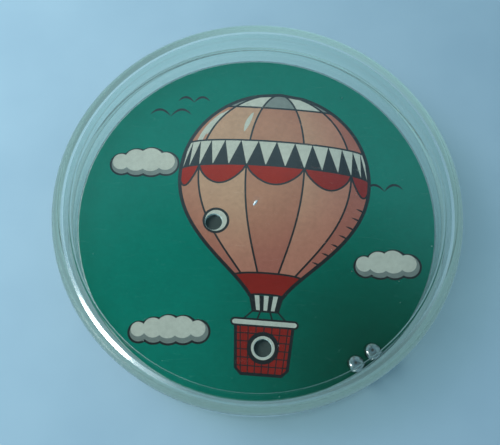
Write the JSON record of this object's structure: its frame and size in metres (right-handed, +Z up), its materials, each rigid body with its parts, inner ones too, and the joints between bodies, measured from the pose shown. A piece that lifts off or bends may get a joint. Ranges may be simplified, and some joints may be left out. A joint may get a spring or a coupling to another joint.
{
  "type": "dexterity puzzle",
  "caption": "Round pocket puzzle: a clear shallow case over a printed card with punched holes, in which loose steel balls are rolled until they drop in.",
  "frame": {"origin": "centre of the case's underside, on the surface that it lies on", "axes": "+Z up along the case's axis, through the window; +Y to the top of the picture; +X to its right"},
  "size_m": [0.06, 0.06, 0.0113],
  "materials": {
    "clear_plastic": "clear moulded polystyrene, polished, slightly yellowed with age",
    "dark_card": "matt black paper board",
    "printed_card": "colour-printed board, satin",
    "steel_ball": "polished bearing steel"
  },
  "bodies": {
    "case": {"base_tray": "clear_plastic", "backing_card": "dark_card", "picture_card": "printed_card", "cover": "clear_plastic"},
    "ball_1": {"ball_1": "steel_ball"},
    "ball_2": {"ball_2": "steel_ball"}
  },
  "joints": [
    {"name": "ball_1_roll", "type": "slide", "parent": "case", "child": "ball_1", "axis": [-0.9854, 0.1702, 0], "range_m": [0, 0.01352]},
    {"name": "ball_2_roll", "type": "slide", "parent": "case", "child": "ball_2", "axis": [-0.7592, 0.6509, 0], "range_m": [0, 0.03089]}
  ]
}
